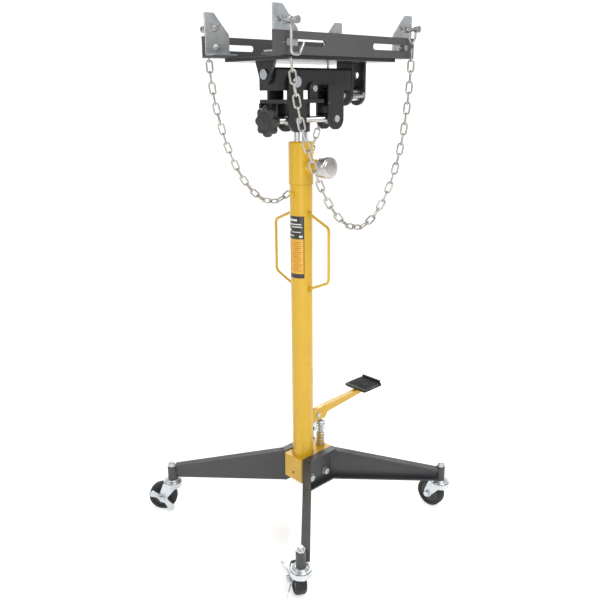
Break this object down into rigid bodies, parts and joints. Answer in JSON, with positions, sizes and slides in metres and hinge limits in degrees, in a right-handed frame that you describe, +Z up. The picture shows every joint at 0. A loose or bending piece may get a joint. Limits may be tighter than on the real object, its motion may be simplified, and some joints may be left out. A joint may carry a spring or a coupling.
{
  "type": "transmission jack",
  "caption": "Tall hydraulic transmission jack: caster base, telescoping column, foot pump, and a tilting slotted saddle with corner brackets and hold-down chains.",
  "frame": {"origin": "middle of the outline on the floor, under the column", "axes": "+Z up along the column, +X along the saddle rails towards the pedal, +Y away from the release knob"},
  "size_m": [0.6358, 0.5849, 1.252],
  "materials": {
    "yellow_paint": "gloss",
    "grey_paint": "satin",
    "rail_paint": "satin",
    "black_paint": "satin",
    "zinc": "satin",
    "dark_bolt": "satin",
    "chrome": "mirror",
    "tyre": "matt",
    "black_plastic": "satin",
    "pad_rubber": "matt"
  },
  "bodies": {
    "chassis": {"leg_channel_front": "grey_paint", "leg_channel_back": "grey_paint", "base_block": "yellow_paint", "leg_bolts": "dark_bolt", "caster_stems": "zinc", "stem_nuts": "zinc", "column_cylinder": "yellow_paint", "pressure_cylinder": "dark_bolt", "gland_sleeve": "yellow_paint", "filler_screw": "dark_bolt", "release_neck": "yellow_paint", "handle_back": "yellow_paint", "handle_front": "yellow_paint", "pump_cylinder": "yellow_paint", "pump_bracket": "yellow_paint", "pedal_pivot_pin": "zinc", "pump_spring": "dark_bolt"},
    "caster_left": {"caster_fork_left": "zinc"},
    "wheel_left": {"caster_wheel_left": "tyre"},
    "brake_left": {"brake_lever_left": "zinc"},
    "caster_front": {"caster_fork_front": "zinc"},
    "wheel_front": {"caster_wheel_front": "tyre"},
    "brake_front": {"brake_lever_front": "zinc"},
    "caster_right": {"caster_fork_right": "zinc"},
    "wheel_right": {"caster_wheel_right": "tyre"},
    "caster_back": {"caster_fork_back": "zinc"},
    "wheel_back": {"caster_wheel_back": "tyre"},
    "release": {"release_knob": "black_plastic"},
    "pedal": {"pedal_arm": "yellow_paint", "pedal_pad": "pad_rubber", "pedal_roller": "zinc"},
    "pump_plunger": {"pump_piston": "chrome"},
    "ram": {"ram": "chrome", "ram_piston": "dark_bolt"},
    "head": {"head_base": "black_paint", "tilt_bolts": "zinc"},
    "tilt_frame": {"tilt_beam": "black_paint", "hanging_arm": "black_paint", "roll_pins": "zinc", "roll_bracket": "black_paint"},
    "tilt_link": {"tilt_trunnion": "zinc"},
    "tilt_spindle": {"tilt_screw": "zinc", "tilt_knob": "black_plastic"},
    "tilt_nut": {"tilt_nut": "zinc"},
    "saddle": {"saddle_deck": "black_paint", "saddle_lugs": "black_paint", "saddle_rails": "rail_paint", "chain_front": "zinc", "chain_back": "zinc"},
    "roll_nut": {"roll_nut": "zinc"},
    "roll_spindle": {"roll_screw": "zinc", "roll_knob": "black_plastic"},
    "bracket_front_left": {"bracket_front_left": "zinc", "bracket_hardware_front_left": "zinc"},
    "bracket_front_right": {"bracket_front_right": "zinc", "bracket_hardware_front_right": "zinc"},
    "bracket_back_left": {"bracket_back_left": "zinc", "bracket_hardware_back_left": "zinc"},
    "bracket_back_right": {"bracket_back_right": "zinc", "bracket_hardware_back_right": "zinc"}
  },
  "joints": [
    {"name": "swivel_left", "type": "hinge", "parent": "chassis", "child": "caster_left", "pos_m": [-0.258, 0.24, 0.08], "axis": [0, 0, 1], "continuous": true},
    {"name": "roll_left", "type": "hinge", "parent": "caster_left", "child": "wheel_left", "pos_m": [-0.27775, 0.25841, 0.0375], "axis": [-0.682, -0.7314, 0], "continuous": true},
    {"name": "brake_left_rock", "type": "hinge", "parent": "caster_left", "child": "brake_left", "pos_m": [-0.27775, 0.25841, 0.0375], "axis": [-0.682, -0.7314, 0], "range_deg": [0, 20]},
    {"name": "swivel_front", "type": "hinge", "parent": "chassis", "child": "caster_front", "pos_m": [-0.258, -0.264, 0.08], "axis": [0, 0, 1], "continuous": true},
    {"name": "roll_front", "type": "hinge", "parent": "caster_front", "child": "wheel_front", "pos_m": [-0.2445, -0.24062, 0.0375], "axis": [-0.866, 0.5, 0], "continuous": true},
    {"name": "brake_front_rock", "type": "hinge", "parent": "caster_front", "child": "brake_front", "pos_m": [-0.2445, -0.24062, 0.0375], "axis": [-0.866, 0.5, 0], "range_deg": [0, 20]},
    {"name": "swivel_right", "type": "hinge", "parent": "chassis", "child": "caster_right", "pos_m": [0.258, -0.264, 0.08], "axis": [0, 0, 1], "continuous": true},
    {"name": "roll_right", "type": "hinge", "parent": "caster_right", "child": "wheel_right", "pos_m": [0.258, -0.237, 0.0375], "axis": [-1, 0, 0], "continuous": true},
    {"name": "swivel_back", "type": "hinge", "parent": "chassis", "child": "caster_back", "pos_m": [0.258, 0.24, 0.08], "axis": [0, 0, 1], "continuous": true},
    {"name": "roll_back", "type": "hinge", "parent": "caster_back", "child": "wheel_back", "pos_m": [0.27709, 0.25909, 0.0375], "axis": [-0.7071, 0.7071, 0], "continuous": true},
    {"name": "release_turn", "type": "hinge", "parent": "chassis", "child": "release", "pos_m": [-0.01, -0.096, 0.921], "axis": [0, 1, 0], "range_deg": [0, 540]},
    {"name": "pedal_press", "type": "hinge", "parent": "chassis", "child": "pedal", "pos_m": [0.034, -0.012, 0.268], "axis": [0, 1, 0], "range_deg": [0, 22], "stiffness_Nm_per_rad": 8, "springref_deg": -17.19},
    {"name": "pump_stroke", "type": "slide", "parent": "chassis", "child": "pump_plunger", "axis": [0, 0, -1], "range_m": [0, 0.0085], "deforming": ["pump_spring"]},
    {"name": "ram_lift", "type": "slide", "parent": "chassis", "child": "ram", "axis": [0, 0, 1], "range_m": [0, 0.65]},
    {"name": "head_swivel", "type": "hinge", "parent": "ram", "child": "head", "pos_m": [-0.01, -0.012, 1.03], "axis": [0, 0, 1], "continuous": true},
    {"name": "head_tilt", "type": "hinge", "parent": "head", "child": "tilt_frame", "pos_m": [-0.057, -0.012, 1.107], "axis": [0, 1, 0], "range_deg": [-8, 8]},
    {"name": "tilt_link_turn", "type": "hinge", "parent": "head", "child": "tilt_link", "pos_m": [-0.069, -0.045, 1.026], "axis": [0, 1, 0], "range_deg": [-7.5, 7.5]},
    {"name": "tilt_screw_turn", "type": "hinge", "parent": "tilt_link", "child": "tilt_spindle", "pos_m": [-0.069, -0.045, 1.026], "axis": [1, 0, 0], "range_deg": [-1360, 1360]},
    {"name": "tilt_nut_turn", "type": "hinge", "parent": "tilt_frame", "child": "tilt_nut", "pos_m": [0.052, -0.045, 1.026], "axis": [0, 1, 0], "range_deg": [-1, 1]},
    {"name": "saddle_roll", "type": "hinge", "parent": "tilt_frame", "child": "saddle", "pos_m": [0.01, -0.012, 1.123], "axis": [1, 0, 0], "range_deg": [-6, 6]},
    {"name": "roll_nut_turn", "type": "hinge", "parent": "saddle", "child": "roll_nut", "pos_m": [0.1595, -0.012, 1.077], "axis": [1, 0, 0], "range_deg": [-6.2, 6.2]},
    {"name": "roll_screw_turn", "type": "hinge", "parent": "tilt_frame", "child": "roll_spindle", "pos_m": [0.1595, 0.028, 1.077], "axis": [0, 1, 0], "range_deg": [-870, 870]},
    {"name": "front_left_slide", "type": "slide", "parent": "saddle", "child": "bracket_front_left", "axis": [1, 0, 0], "range_m": [0, 0.075], "deforming": ["chain_front"]},
    {"name": "front_right_slide", "type": "slide", "parent": "saddle", "child": "bracket_front_right", "axis": [-1, 0, 0], "range_m": [0, 0.075], "deforming": ["chain_front"]},
    {"name": "back_left_slide", "type": "slide", "parent": "saddle", "child": "bracket_back_left", "axis": [1, 0, 0], "range_m": [0, 0.075], "deforming": ["chain_back"]},
    {"name": "back_right_slide", "type": "slide", "parent": "saddle", "child": "bracket_back_right", "axis": [-1, 0, 0], "range_m": [0, 0.075], "deforming": ["chain_back"]}
  ],
  "couplings": [
    {"joint": "pump_stroke", "follows": "pedal_press", "m_per_rad": 0.0202},
    {"joint": "tilt_link_turn", "follows": "head_tilt", "ratio": 0.905},
    {"joint": "tilt_nut_turn", "follows": "head_tilt", "ratio": -0.095},
    {"joint": "tilt_screw_turn", "follows": "head_tilt", "ratio": 169.6},
    {"joint": "roll_nut_turn", "follows": "saddle_roll", "ratio": -1},
    {"joint": "roll_screw_turn", "follows": "saddle_roll", "ratio": -144.5}
  ]
}
